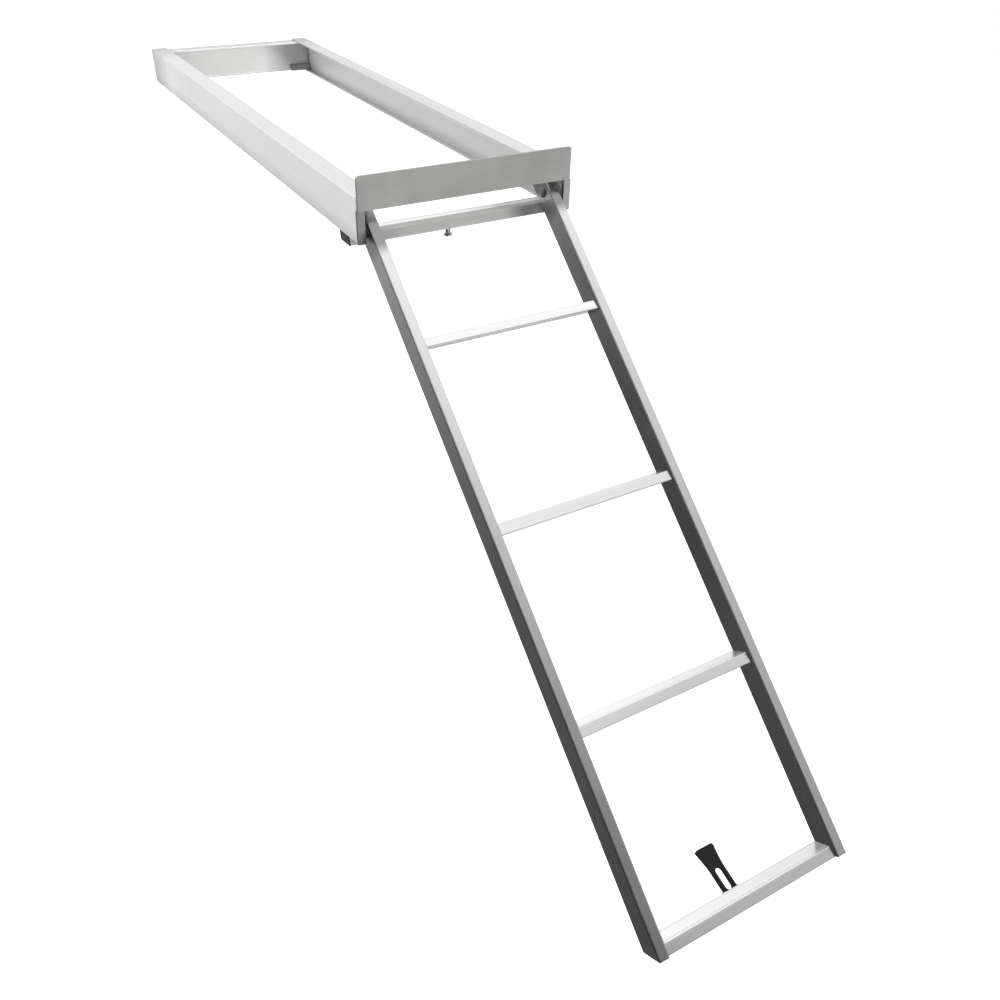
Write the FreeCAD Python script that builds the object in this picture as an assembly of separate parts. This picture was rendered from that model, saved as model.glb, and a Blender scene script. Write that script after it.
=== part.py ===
"""Under-deck pontoon boat ladder: four steps on two tube rails that roll in side channels.

Millimetres. X runs across, Y runs back under the deck, Z is up. The origin lies on the back face
of the front plate, midway across, level with the top of the channels (the underside of the deck).
The ladder is drawn run out and swung part of the way down, as it is in the picture.
"""
import FreeCAD
import Part

import math
import os

V = FreeCAD.Vector
X_AXIS = V(1, 0, 0)
Y_AXIS = V(0, 1, 0)
Z_AXIS = V(0, 0, 1)

# Frame
WIDTH = 381.0
CHANNEL_HEIGHT = 72.0
CHANNEL_WALL = 3.0
TOP_FLANGE = 34.5
BOTTOM_FLANGE = 12.5
REAR_CORNER_RADIUS = 15.0
CHANNEL_EDGE_RADIUS = 2.5
FRONT_SLIT = 1.5

# Front plate and the posts under its ends
PLATE_THICKNESS = 4.5
PLATE_RISE = 31.0
PLATE_DROP = 21.5
PLATE_INSET = 2.0
SEAT_DEPTH = 0.5
PLATE_CORNER_RADIUS = 5.0

# Rear crossmember
CROSSMEMBER_DEPTH = 25.0
CROSSMEMBER_BEND = 6.0

# Rails
RAIL_WIDTH = 17.6
RAIL_DEPTH = 40.5
RAIL_WALL = 2.0
RAIL_CORNER_RADIUS = 2.5
RAIL_GAP = 5.1
PIVOT_TO_FIRST_STEP = 228.0
PIVOT_TO_HEAD = 32.0
LEAN = 49.6

# Steps, and the front crossbar of the same section
STEP_COUNT = 4
STEP_SPACING = 304.0
STEP_HEIGHT = 15.5
STEP_WALL = 2.2
NOSE_SETBACK = 7.6
NOSE_INSET = 4.2
TREAD_TILT = 15.0
REAR_FACE_INSET = 1.5
EDGE_RADIUS = 1.2
CROSSBAR_NOSE_Y = 36.5
CROSSBAR_INSET = 1.8
CAP_FLANGE = 2.2
CAP_PLUG = 12.0

# Pivots and rollers
ROLLER_WIDTH = 8.0
ROLLER_SIDE_GAP = 0.8
ROLLER_STOP_GAP = 0.55
SEAT_GAP = 0.3
BOLT_DIAMETER = 10.0
BOLT_PLAY = 0.06
NUT_ACROSS_FLATS = 15.0
NUT_THICKNESS = 4.5
BOLT_HEAD_DIAMETER = 15.0
BOLT_HEAD_THICKNESS = 2.0
BOLT_HEAD_EDGE = 1.2
WASHER_DIAMETER = 18.0
WASHER_THICKNESS = 1.0
SPACER_DIAMETER = 18.0

# How far behind the plate the foot of the stowed ladder lies, and the rubber stops behind its head
STOWED_DEPTH = 9.0
STOP_WIDTH = 49.0
STOP_THICKNESS = 9.5
STOP_HEIGHT = 14.0
STOP_LIFT = 1.0
STOP_SIDE_GAP = 0.5
STOP_EDGE_RADIUS = 2.5

# Rubber latch and its catch
LATCH_X = -6.0
LATCH_TILT = 25.0
LATCH_LENGTH = 73.0
LATCH_THICKNESS = 5.0
LATCH_NECK_WIDTH = 24.5
LATCH_HEAD_WIDTH = 33.0
LATCH_HEAD_START = 50.0
LATCH_FLARE = 10.0
LATCH_FLARE_BULGE = 0.6
LATCH_HEAD_SIDE = 4.0
LATCH_CORNER_RADIUS = 3.0
LATCH_SLOT_WIDTH = 10.5
LATCH_SLOT_START = 5.5
LATCH_SLOT_END = 39.0
LATCH_EYE_DIAMETER = 7.6
LATCH_PIN_DIAMETER = 3.0
BRACKET_SHEET = 1.5
BRACKET_EAR = 2.0
CATCH_Y = 58.0
CATCH_HEAD_DIAMETER = 14.0
CATCH_NECK_DIAMETER = 8.0
CATCH_LENGTH = 19.0
CATCH_FOOT_THICKNESS = 2.0
CATCH_HEAD_THICKNESS = 6.0
CATCH_HEAD_EDGE = 2.0

HALF_WIDTH = WIDTH / 2
PIVOT_Z = (-PLATE_DROP - CHANNEL_HEIGHT) / 2
RAIL_OUTER = BOTTOM_FLANGE + RAIL_GAP
RAIL_INNER = RAIL_OUTER + RAIL_WIDTH
ROLLER_RADIUS = PIVOT_Z + CHANNEL_HEIGHT - CHANNEL_WALL - SEAT_GAP
ROLLER_OUTER = CHANNEL_WALL + ROLLER_SIDE_GAP
PIVOT_Y = FRONT_SLIT + ROLLER_STOP_GAP + ROLLER_RADIUS
PIVOT_TO_FOOT = PIVOT_TO_FIRST_STEP + (STEP_COUNT - 1) * STEP_SPACING
TRAVEL = PIVOT_TO_FOOT - PIVOT_Y + STOWED_DEPTH
STOP_BOTTOM = -CHANNEL_HEIGHT + CHANNEL_WALL + STOP_LIFT
STOP_TOP = STOP_BOTTOM + STOP_HEIGHT
STOP_FRONT = PIVOT_Y + TRAVEL + math.sqrt(PIVOT_TO_HEAD ** 2 - (PIVOT_Z - STOP_TOP) ** 2) + SEAT_GAP
LENGTH = round(STOP_FRONT + STOP_THICKNESS + CROSSMEMBER_DEPTH, 1)
TILT = math.radians(TREAD_TILT)
FOOT_RISE = RAIL_DEPTH * math.tan(TILT)
STEP_DEPTH = RAIL_DEPTH - NOSE_INSET - REAR_FACE_INSET


def box(x0, x1, y0, y1, z0, z1):
    return Part.makeBox(x1 - x0, y1 - y0, z1 - z0, V(x0, y0, z0))


def rod(diameter, length, base, axis):
    return Part.makeCylinder(diameter / 2, length, base, axis)


def prism(outline, x0, x1):
    """Solid with a closed (y, z) outline, from x0 to x1."""
    points = [V(x0, y, z) for y, z in outline]
    face = Part.Face(Part.makePolygon(points + points[:1]))
    return face.extrude(V(x1 - x0, 0, 0))


def rounded_along(solid, axis, radius):
    """Round the edges of a solid that run along one axis."""
    edges = []
    for edge in solid.Edges:
        direction = edge.Vertexes[-1].Point - edge.Vertexes[0].Point
        if direction.Length > 1e-6 and abs(direction.normalize().dot(axis)) > 0.999:
            edges.append(edge)
    return solid.makeFillet(radius, edges)


def rounded_edges(solid, radius, chosen):
    """Round the straight edges whose two ends both meet a condition."""
    edges = [e for e in solid.Edges if len(e.Vertexes) == 2 and all(chosen(v.Point) for v in e.Vertexes)]
    return solid.makeFillet(radius, edges)


def hexagon(across_flats, x0, x1, y, z):
    """Hexagonal prism along X."""
    corner = across_flats / math.sqrt(3)
    outline = []
    for turn in range(6):
        angle = math.radians(60 * turn)
        outline.append((y + corner * math.cos(angle), z + corner * math.sin(angle)))
    return prism(outline, x0, x1)


def mirrored(shape):
    return shape.mirror(V(0, 0, 0), X_AXIS)


def on_ladder(shape):
    """Place a shape drawn with the pivot at its origin, Z up the rails and Y square to them, to the rear."""
    placed = shape.copy()
    placed.rotate(V(0, 0, 0), X_AXIS, -LEAN)
    placed.translate(V(0, PIVOT_Y, PIVOT_Z))
    return placed


def channel():
    """Left side channel, open towards the middle; a thin tongue on its top flange sits in the plate."""
    outer = -HALF_WIDTH
    low = -CHANNEL_HEIGHT
    web = box(outer, outer + CHANNEL_WALL, FRONT_SLIT, LENGTH, low, 0)
    top = box(outer + CHANNEL_WALL, outer + TOP_FLANGE, 0, LENGTH, -CHANNEL_WALL, 0)
    tongue = box(outer + CHANNEL_WALL, outer + TOP_FLANGE, -SEAT_DEPTH, 1, -CHANNEL_WALL, -SEAT_DEPTH)
    bottom = box(outer, outer + BOTTOM_FLANGE, FRONT_SLIT, LENGTH, low, low + CHANNEL_WALL)
    shape = web.fuse([top, tongue, bottom]).removeSplitter()
    for z in (0, low):
        shape = rounded_edges(shape, CHANNEL_EDGE_RADIUS,
                              lambda p: abs(p.x - outer) < 1e-6 and abs(p.z - z) < 1e-6)
    r = REAR_CORNER_RADIUS
    corner = box(outer - 1, outer + TOP_FLANGE, LENGTH - r, LENGTH + 1,
                 -CHANNEL_HEIGHT - 1, -CHANNEL_HEIGHT + r)
    corner = corner.cut(rod(2 * r, TOP_FLANGE + 3, V(outer - 2, LENGTH - r, -CHANNEL_HEIGHT + r), X_AXIS))
    return shape.cut(corner)


def end_post():
    """Flat bar that closes the front of the left channel below the plate and stops the roller."""
    outer = -HALF_WIDTH
    return box(outer, outer + BOTTOM_FLANGE, -PLATE_THICKNESS, FRONT_SLIT, -CHANNEL_HEIGHT, -PLATE_DROP)


def front_plate():
    """Flat plate that laps the edge of the deck, milled thinner behind its lower corners for the channels."""
    half = HALF_WIDTH - PLATE_INSET
    plate = box(-half, half, -PLATE_THICKNESS, 0, -PLATE_DROP, PLATE_RISE)
    seat = box(-half - 1, -HALF_WIDTH + TOP_FLANGE + SEAT_GAP, -SEAT_DEPTH, 1, -PLATE_DROP - 1, 0)
    plate = plate.cut([seat, mirrored(seat)])
    corners = []
    for edge in plate.Edges:
        a, b = edge.Vertexes[0].Point, edge.Vertexes[1].Point
        if abs(a.z - PLATE_RISE) < 1e-6 and abs(b.z - PLATE_RISE) < 1e-6 and abs(a.x - b.x) < 1e-6:
            corners.append(edge)
    return plate.makeFillet(PLATE_CORNER_RADIUS, corners)


def rear_crossmember():
    """Bent C-section between the webs, open to the rear."""
    half = HALF_WIDTH - CHANNEL_WALL
    front = LENGTH - CROSSMEMBER_DEPTH
    low = -CHANNEL_HEIGHT + CHANNEL_WALL
    high = -CHANNEL_WALL
    body = box(-half, half, front, LENGTH, low, high)
    inside = box(-half - 1, half + 1, front + CHANNEL_WALL, LENGTH + 1,
                 low + CHANNEL_WALL, high - CHANNEL_WALL)
    for z in (low, high):
        body = rounded_edges(body, CROSSMEMBER_BEND,
                             lambda p: abs(p.y - front) < 1e-6 and abs(p.z - z) < 1e-6)
    inner = CROSSMEMBER_BEND - CHANNEL_WALL
    for z in (low + CHANNEL_WALL, high - CHANNEL_WALL):
        inside = rounded_edges(inside, inner,
                               lambda p: abs(p.y - front - CHANNEL_WALL) < 1e-6 and abs(p.z - z) < 1e-6)
    r = REAR_CORNER_RADIUS
    clear = box(-half - 1, half + 1, LENGTH - r, LENGTH + 1, low - 1, low + r)
    return body.cut(inside).cut(clear)


def step_outline():
    """Section of a step laid level: nose edge at the origin, y to the rear, z up."""
    rear_bottom = STEP_DEPTH / math.cos(TILT)
    rear_top = rear_bottom + STEP_HEIGHT * math.tan(TILT)
    return [(0, 0), (rear_bottom, 0), (rear_top, STEP_HEIGHT), (NOSE_SETBACK, STEP_HEIGHT)]


def step_bar(x0, x1):
    """Hollow extrusion of the step section along X."""
    outline = step_outline()
    outer = rounded_along(prism(outline, x0, x1), X_AXIS, EDGE_RADIUS)
    return outer.cut(step_core(x0 - 1, x1 + 1, 0))


def step_core(x0, x1, play):
    """The hollow of the step section, smaller all round by the play."""
    points = [V(x0, y, z) for y, z in step_outline()]
    face = Part.Face(Part.makePolygon(points + points[:1]))
    inner = face.makeOffset2D(-STEP_WALL - play)
    return inner.extrude(V(x1 - x0, 0, 0))


def front_crossbar():
    inset = CROSSBAR_INSET + CAP_FLANGE
    bar = step_bar(-HALF_WIDTH + inset, HALF_WIDTH - inset)
    bar.translate(V(0, CROSSBAR_NOSE_Y, -CHANNEL_HEIGHT - STEP_HEIGHT))
    return bar


def crossbar_cap():
    """Moulded plug in the left end of the crossbar."""
    start = -HALF_WIDTH + CROSSBAR_INSET
    flange = rounded_along(prism(step_outline(), start, start + CAP_FLANGE), X_AXIS, EDGE_RADIUS)
    plug = step_core(start + CAP_FLANGE, start + CAP_FLANGE + CAP_PLUG, 0)
    cap = flange.fuse(plug)
    cap.translate(V(0, CROSSBAR_NOSE_Y, -CHANNEL_HEIGHT - STEP_HEIGHT))
    return cap


def catch_stud():
    """Mushroom stud under the crossbar, turned about a vertical line."""
    top = -CHANNEL_HEIGHT - STEP_HEIGHT
    down = V(0, 0, -1)
    foot = rod(CATCH_HEAD_DIAMETER, CATCH_FOOT_THICKNESS, V(LATCH_X, CATCH_Y, top), down)
    neck = rod(CATCH_NECK_DIAMETER, CATCH_LENGTH - CATCH_HEAD_EDGE, V(LATCH_X, CATCH_Y, top), down)
    head_top = top - CATCH_LENGTH + CATCH_HEAD_THICKNESS
    head = rod(CATCH_HEAD_DIAMETER, CATCH_HEAD_THICKNESS, V(LATCH_X, CATCH_Y, head_top), down)
    head = head.makeFillet(CATCH_HEAD_EDGE, [e for e in head.Edges if len(e.Vertexes) == 1])
    return foot.fuse([neck, head]).removeSplitter()


def rear_stop():
    """Low rubber bumper on the crossmember that the left rail's head meets when the ladder is stowed."""
    x0 = -HALF_WIDTH + CHANNEL_WALL + STOP_SIDE_GAP
    stop = box(x0, x0 + STOP_WIDTH, STOP_FRONT, LENGTH - CROSSMEMBER_DEPTH, STOP_BOTTOM, STOP_TOP)
    return rounded_edges(stop, STOP_EDGE_RADIUS, lambda p: abs(p.y - STOP_FRONT) < 1e-6)


def rail():
    """Left rail, a rectangular tube rounded at the head and cut at the foot to the slope of the steps."""
    x0 = -HALF_WIDTH + RAIL_OUTER
    x1 = x0 + RAIL_WIDTH
    half = RAIL_DEPTH / 2
    foot = -PIVOT_TO_FOOT
    tube = rounded_along(box(x0, x1, -half, half, foot, PIVOT_TO_HEAD), Z_AXIS, RAIL_CORNER_RADIUS)
    w = RAIL_WALL
    tube = tube.cut(box(x0 + w, x1 - w, -half + w, half - w, foot - 1, PIVOT_TO_HEAD + 1))
    hole = rod(BOLT_DIAMETER + 2 * BOLT_PLAY, RAIL_WIDTH + 2, V(x0 - 1, 0, 0), X_AXIS)
    head = box(x0 - 1, x1 + 1, -half - 1, half + 1, 0, PIVOT_TO_HEAD + 1)
    head = head.cut(rod(2 * PIVOT_TO_HEAD, RAIL_WIDTH + 4, V(x0 - 2, 0, 0), X_AXIS))
    return on_ladder(tube.cut([foot_cut(x0), hole, head]))


def foot_cut(x0):
    """Wedge under the sloping foot of a rail."""
    half = RAIL_DEPTH / 2
    foot = -PIVOT_TO_FOOT
    outline = [(-half - 1, foot - math.tan(TILT)), (half + 1, foot + FOOT_RISE + math.tan(TILT))]
    outline += [(half + 1, foot - 5), (-half - 1, foot - 5)]
    return prism(outline, x0 - 1, x0 + RAIL_WIDTH + 1)


def rail_plug():
    """Plastic plug pressed flush into the foot of the left rail."""
    x0 = -HALF_WIDTH + RAIL_OUTER
    w = RAIL_WALL
    half = RAIL_DEPTH / 2 - w
    plug = box(x0 + w, x0 + RAIL_WIDTH - w, -half, half,
               -PIVOT_TO_FOOT, -PIVOT_TO_FOOT + FOOT_RISE + CAP_PLUG)
    return on_ladder(plug.cut(foot_cut(x0)))


def step(number):
    """Step counted from the top, its nose edge just behind the front plane of the rails."""
    half = HALF_WIDTH - RAIL_INNER
    bar = step_bar(-half, half)
    bar.rotate(V(0, 0, 0), X_AXIS, TREAD_TILT)
    height = -PIVOT_TO_FOOT + (STEP_COUNT - number) * STEP_SPACING
    bar.translate(V(0, -RAIL_DEPTH / 2 + NOSE_INSET, height))
    return on_ladder(bar)


def roller():
    """Left roller with a recess for the nut."""
    x0 = -HALF_WIDTH + ROLLER_OUTER
    wheel = rod(2 * ROLLER_RADIUS, ROLLER_WIDTH, V(x0, PIVOT_Y, PIVOT_Z), X_AXIS)
    wheel = wheel.makeChamfer(1, [e for e in wheel.Edges if len(e.Vertexes) == 1])
    recess = rod(NUT_ACROSS_FLATS + 5, NUT_THICKNESS + 0.5, V(x0, PIVOT_Y, PIVOT_Z), X_AXIS)
    bore = rod(BOLT_DIAMETER, ROLLER_WIDTH + 2, V(x0 - 1, PIVOT_Y, PIVOT_Z), X_AXIS)
    return wheel.cut([recess, bore])


def spacer():
    """Bush between the left roller and the rail."""
    x0 = -HALF_WIDTH + ROLLER_OUTER + ROLLER_WIDTH
    length = RAIL_OUTER - SEAT_GAP - ROLLER_OUTER - ROLLER_WIDTH
    bush = rod(SPACER_DIAMETER, length, V(x0, PIVOT_Y, PIVOT_Z), X_AXIS)
    return bush.cut(rod(BOLT_DIAMETER, length + 2, V(x0 - 1, PIVOT_Y, PIVOT_Z), X_AXIS))


def lock_nut():
    x0 = -HALF_WIDTH + ROLLER_OUTER + 0.5
    nut = hexagon(NUT_ACROSS_FLATS, x0, x0 + NUT_THICKNESS, PIVOT_Y, PIVOT_Z)
    return nut.cut(rod(BOLT_DIAMETER, NUT_THICKNESS + 2, V(x0 - 1, PIVOT_Y, PIVOT_Z), X_AXIS))


def pivot_washer():
    x0 = -HALF_WIDTH + RAIL_INNER + SEAT_GAP
    disc = rod(WASHER_DIAMETER, WASHER_THICKNESS, V(x0, PIVOT_Y, PIVOT_Z), X_AXIS)
    return disc.cut(rod(BOLT_DIAMETER, WASHER_THICKNESS + 2, V(x0 - 1, PIVOT_Y, PIVOT_Z), X_AXIS))


def pivot_bolt():
    """Left pivot bolt, its low round head on the inner side of the rail."""
    x0 = -HALF_WIDTH + ROLLER_OUTER + 0.3
    head = -HALF_WIDTH + RAIL_INNER + SEAT_GAP + WASHER_THICKNESS
    shank = rod(BOLT_DIAMETER, head - x0 + 1, V(x0, PIVOT_Y, PIVOT_Z), X_AXIS)
    button = rod(BOLT_HEAD_DIAMETER, BOLT_HEAD_THICKNESS, V(head, PIVOT_Y, PIVOT_Z), X_AXIS)
    face = head + BOLT_HEAD_THICKNESS
    rim = [e for e in button.Edges if len(e.Vertexes) == 1 and abs(e.BoundBox.XMin - face) < 1e-6]
    return shank.fuse(button.makeChamfer(BOLT_HEAD_EDGE, rim))


def latch_hinge():
    """Place of the latch pin in ladder coordinates: y square to the rails, z along them."""
    rear_face = RAIL_DEPTH / 2 - REAR_FACE_INSET
    y = rear_face + BRACKET_SHEET + LATCH_EYE_DIAMETER / 2 + SEAT_GAP
    z = -PIVOT_TO_FOOT + STEP_DEPTH * math.tan(TILT) + STEP_HEIGHT / 2
    return y, z


def latch_bracket():
    """Folded bracket on the rear face of the bottom step, with an ear at each side of the latch."""
    y, z = latch_hinge()
    half = LATCH_NECK_WIDTH / 2 + SEAT_GAP
    rear_face = RAIL_DEPTH / 2 - REAR_FACE_INSET
    low, high = z - 6, z + 6
    base = box(LATCH_X - half - BRACKET_EAR, LATCH_X + half + BRACKET_EAR,
               rear_face, rear_face + BRACKET_SHEET, low, high)
    shape = base
    for side in (-1, 1):
        inner = LATCH_X + side * half
        outer = inner + side * BRACKET_EAR
        ear = box(min(inner, outer), max(inner, outer), rear_face, y + LATCH_EYE_DIAMETER / 2, low, high)
        shape = shape.fuse(ear)
    hole = rod(LATCH_PIN_DIAMETER, 2 * half + 3 * BRACKET_EAR,
               V(LATCH_X - half - 1.5 * BRACKET_EAR, y, z), X_AXIS)
    return on_ladder(shape.removeSplitter().cut(hole))


def latch_pin():
    y, z = latch_hinge()
    half = LATCH_NECK_WIDTH / 2 + SEAT_GAP + BRACKET_EAR
    return on_ladder(rod(LATCH_PIN_DIAMETER, 2 * half, V(LATCH_X - half, y, z), X_AXIS))


def latch_strap():
    """Rubber latch: an eye round the pin, a slotted neck and a wider pull tab."""
    neck = LATCH_NECK_WIDTH / 2
    head = LATCH_HEAD_WIDTH / 2
    half = LATCH_THICKNESS / 2
    a, b = LATCH_HEAD_START, LATCH_LENGTH
    flare_start = a - LATCH_FLARE
    r = LATCH_CORNER_RADIUS
    flare_end = b - r - LATCH_HEAD_SIDE

    def at(x, z):
        return V(x, -half, z)

    def side(sign):
        bulge = at(sign * (neck + LATCH_FLARE_BULGE), a)
        flare = Part.Arc(at(sign * neck, flare_start), bulge, at(sign * head, flare_end)).toShape()
        edge = Part.makeLine(at(sign * head, flare_end), at(sign * head, b - r))
        turn = math.sqrt(0.5) * r
        middle = at(sign * (head - r + turn), b - r + turn)
        corner = Part.Arc(at(sign * head, b - r), middle, at(sign * (head - r), b)).toShape()
        return [Part.makeLine(at(sign * neck, 0), at(sign * neck, flare_start)), flare, edge, corner]

    left, right = side(-1), side(1)
    top = Part.makeLine(at(-head + r, b), at(head - r, b))
    base = Part.makeLine(at(-neck, 0), at(neck, 0))
    wire = Part.Wire(Part.__sortEdges__(left + [top] + right + [base]))
    tab = Part.Face(wire).extrude(V(0, LATCH_THICKNESS, 0))
    s = LATCH_SLOT_WIDTH / 2
    slot = box(-s, s, -half - 1, half + 1, LATCH_SLOT_START + s, LATCH_SLOT_END - s)
    for z in (LATCH_SLOT_START + s, LATCH_SLOT_END - s):
        slot = slot.fuse(rod(LATCH_SLOT_WIDTH, LATCH_THICKNESS + 2, V(0, -half - 1, z), Y_AXIS))
    eye = rod(LATCH_EYE_DIAMETER, LATCH_NECK_WIDTH, V(-neck, 0, 0), X_AXIS)
    bore = rod(LATCH_PIN_DIAMETER + 2 * BOLT_PLAY, LATCH_NECK_WIDTH + 2, V(-neck - 1, 0, 0), X_AXIS)
    strap = tab.cut(slot).fuse(eye).cut(bore).removeSplitter()
    strap.rotate(V(0, 0, 0), X_AXIS, -LATCH_TILT)
    y, z = latch_hinge()
    strap.translate(V(LATCH_X, y, z))
    return on_ladder(strap)


def build():
    pieces = {
        "front_plate": front_plate(),
        "rear_crossmember": rear_crossmember(),
        "front_crossbar": front_crossbar(),
        "catch_stud": catch_stud(),
        "latch_bracket": latch_bracket(),
        "latch_pin": latch_pin(),
        "latch_strap": latch_strap(),
    }
    paired = {
        "channel": channel,
        "end_post": end_post,
        "crossbar_cap": crossbar_cap,
        "rear_stop": rear_stop,
        "rail": rail,
        "rail_plug": rail_plug,
        "roller": roller,
        "spacer": spacer,
        "lock_nut": lock_nut,
        "pivot_washer": pivot_washer,
        "pivot_bolt": pivot_bolt,
    }
    for name, make in paired.items():
        shape = make()
        pieces["left_" + name] = shape
        pieces["right_" + name] = mirrored(shape)
    for number in range(1, STEP_COUNT + 1):
        pieces["step_{}".format(number)] = step(number)
    return pieces


os.makedirs("parts", exist_ok=True)
for node, shape in build().items():
    solids = shape.Solids
    if len(solids) != 1 or not shape.isValid():
        print("CHECK", node, len(solids), shape.isValid())
    solids[0].exportStep("parts/{}.step".format(node))
    size = shape.BoundBox
    print(node, "volume", round(shape.Volume / 1000, 1), "cm3, box", [round(v, 1) for v in (
        size.XMin, size.XMax, size.YMin, size.YMax, size.ZMin, size.ZMax)])
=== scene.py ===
"""Looks of the under-deck pontoon boat ladder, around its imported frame, in the frame's axes: X across, Y back
under the deck, Z up, the origin on the back of the front plate. Shapes are measured in millimetres and
turned into the frame's metres, tones and the studio in metres."""
import math

import bmesh
import bpy
from mathutils import Euler, Matrix, Vector


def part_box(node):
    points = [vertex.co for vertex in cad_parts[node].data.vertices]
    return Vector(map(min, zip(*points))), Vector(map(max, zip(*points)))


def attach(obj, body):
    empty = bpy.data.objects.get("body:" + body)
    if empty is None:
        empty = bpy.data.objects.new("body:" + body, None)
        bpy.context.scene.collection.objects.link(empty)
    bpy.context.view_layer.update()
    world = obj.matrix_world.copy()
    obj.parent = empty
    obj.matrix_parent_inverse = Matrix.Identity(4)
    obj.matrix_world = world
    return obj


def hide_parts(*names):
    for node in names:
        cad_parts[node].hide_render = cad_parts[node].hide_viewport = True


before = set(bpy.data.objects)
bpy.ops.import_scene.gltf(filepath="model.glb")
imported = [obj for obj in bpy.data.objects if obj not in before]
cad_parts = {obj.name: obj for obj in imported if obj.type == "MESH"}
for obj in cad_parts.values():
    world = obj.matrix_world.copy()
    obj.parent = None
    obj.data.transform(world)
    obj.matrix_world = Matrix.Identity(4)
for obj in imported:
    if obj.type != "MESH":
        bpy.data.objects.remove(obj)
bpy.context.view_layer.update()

MM = 0.001

# The ladder as it is drawn: pivot, lean from upright, and the slope of the treads against the rails
PIVOT = Vector((0, 24.0, -46.75)) * MM
LEAN = math.radians(49.6)
TREAD_TILT = math.radians(15.0)
PIVOT_TO_FOOT = 1140.0
STEP_COUNT = 4
STEP_SPACING = 304.0

# Section of the steps and the crossbar. The groove is (share of its width, share of its depth) points.
STEP_HEIGHT = 15.5
STEP_FLOOR = 36.03
NOSE_SETBACK = 7.6
NOSE_INSET = 4.2
EDGE_RADIUS = 1.4
GROOVE_WIDTH = 1.2
GROOVE_DEPTH = 0.6
GROOVE_SETBACK = 4.2
GROOVE = ((0.5, 0), (0.3, 0.8), (0, 1), (-0.3, 0.8), (-0.5, 0))
RAIL_DEPTH = 40.5
CROSSBAR_NOSE = Vector((0, 36.5, -87.5))

# Welds
BOTTOM_FLANGE = 12.5
WELD_SIZE = 2.6
FLANGE_WELD_SIZE = WELD_SIZE * 0.8
WELD_PITCH = 2.2
WELD_RIPPLE = 0.1
WELD_END = 0.15
WELD_RINGS = 6
WELD_ARC = 6
STEP_WELD_INSET = 2.5
CORNER_WELD_INSET = 4
FLANGE_WELD_INSETS = (11, 3)

# Pivot hardware: pairs are (depth from an end, radius), and for the roller's edge (depth, distance from its
# rolling surface)
BOLT_RADIUS = 5
BOLT_HEAD_RADIUS = 7.5
BOLT_HEAD = 2.0
BOLT_TIP = ((0, 0), (0, 4.2), (0.8, BOLT_RADIUS))
BOLT_HEAD_EDGE = ((0, BOLT_RADIUS), (0, BOLT_HEAD_RADIUS), (0.8, BOLT_HEAD_RADIUS),
                  (1.3, BOLT_HEAD_RADIUS - 0.5), (1.7, BOLT_HEAD_RADIUS - 1.6))
BOLT_FACE_RADIUS = BOLT_HEAD_RADIUS - 3.6
NUT_FLATS = 15.0
NUT_FACE = 0.97
NUT_CHAMFER = math.radians(30)
NUT_COLLAR = 1.0
NUT_INSERT = ((1.2, 5.1), (1.2, 6.4), (0.3, 6.3), (0, 5.8), (0, 5.1))
BORE_RADIUS = 5.05
NUT_POCKET = ((5, BORE_RADIUS), (5, 10), (0.5, 10.2), (0, 10.8))
ROLLER_GROOVE = ((0, 13.0), (0.8, 13.6), (0.8, 18.2), (0, 18.8))
ROLLER_EDGE = ((0, 1.2), (0.4, 0.4), (1.2, 0))
BUSH_END = ((0, BORE_RADIUS), (0, 8.4), (0.6, 9))

# Bumpers
BUMPER_RADIUS = 2.5
BUMPER_EDGE = BUMPER_RADIUS * 0.4

# Catch stud: (depth from its top, radius) for the foot, (height above its bottom, radius) for the head
STUD_FOOT = ((0, 0), (0, 6.6), (0.5, 7.0), (1.6, 7.0), (2.1, 6.2), (3.0, 4.2), (4.5, 4.0))
STUD_HEAD = ((6.5, 4.0), (5.6, 4.6), (5.0, 6.6), (4.2, 7.0), (2.4, 7.0), (1.2, 6.4), (0.4, 4.8), (0, 2.6),
             (0, 0))

# Rubber latch: the side is (distance from the middle, distance from the pin) points
LATCH_TILT = math.radians(25.0)
LATCH_THICKNESS = 5.0
LATCH_EDGE = 0.8
LATCH_NECK = 12.25
LATCH_HEAD = 16.5
LATCH_SLOT = (5.5, 39.0)
LATCH_SLOT_RADIUS = 5.25
SLOT_PARTS = 12
LATCH_SIDE = ((LATCH_NECK, 1.0), (LATCH_NECK, 20), (LATCH_NECK, 38), (LATCH_NECK + 0.7, 48),
              (LATCH_HEAD - 1.4, 62), (LATCH_HEAD, 68.5), (LATCH_HEAD - 0.6, 71.6), (LATCH_HEAD - 3.4, 72.9))
EYE_BORE = 1.6
EYE_RADIUS = 3.8
EYE_FACE_RADIUS = 3.4
EYE_EDGE = 0.5
RIB_COUNT = 4
RIB_START = 56
RIB_PITCH = 3.8
RIB_INSET = 1.0
RIB_WIDENING = 0.9
RIB_HEIGHT = 0.75
RIB_TAPER = 0.8
RIB_SUNK = 0.25

# Painted shade along the pieces: (axis, start, end, factor before start, factor after end). The
# channels darken towards their far end and low edge, the crossmember towards its right end, and the treads
# at their ends in a painted dark seam that stands for the shade where they meet the rails. The tread's seam
# is measured in from its end.
CHANNEL_FAR_END_SHADE = ((0, 1, 0), 1.08, 1.2, 1.0, 0.66)
CHANNEL_LOW_EDGE_SHADE = ((0, 0, 1), -0.072, -0.048, 0.75, 1.0)
CROSSMEMBER_RIGHT_END_SHADE = ((1, 0, 0), 0.07, 0.13, 1.0, 0.5)
TREAD_END_SHADE = 0.12
TREAD_SEAM_SHADE = (0.0016, 0.001)

# Painted light that differs by face: painted shade on the crossbar's top in front of a border along Y and a
# painted highlight behind it, and painted shade on the rail heads at these distances below the pivot, a
# little askew
CROSSBAR_SHADE_BORDER = 0.0597
BORDER_BLUR = 0.0008
RAIL_HEAD_SHADE = (0.044, 0.064)
RAIL_HEAD_SHADE_SKEW = Vector((0.05, 0, 0))

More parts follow.
